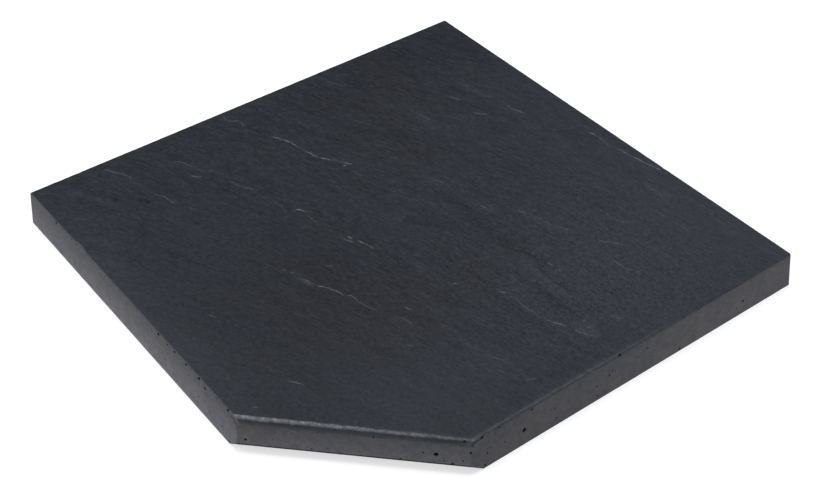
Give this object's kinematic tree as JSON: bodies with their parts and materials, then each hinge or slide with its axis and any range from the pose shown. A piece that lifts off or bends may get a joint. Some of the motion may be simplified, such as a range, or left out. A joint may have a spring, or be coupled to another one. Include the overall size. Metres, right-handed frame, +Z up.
{
  "type": "stone slab",
  "caption": "Flat square cast-stone slab with a dark slate-textured face, a grey body, one corner clipped to a rounded nosing with an undercut, and drafted sides.",
  "frame": {"origin": "middle of the square underside, on the plane the slab rests on", "axes": "+Z up out of the slate face, +X and +Y along the two full sides, with the clipped corner at +X -Y"},
  "size_m": [0.5, 0.5, 0.036],
  "materials": {
    "slate_face": "dark blue-grey face mix with a riven slate texture, matt to satin, paler along its worn edges",
    "stone_body": "mid-grey cast body mix, matt, mottled, with small air holes"
  },
  "bodies": {
    "root": {"slate_face": "slate_face", "stone_body": "stone_body"}
  },
  "joints": []
}
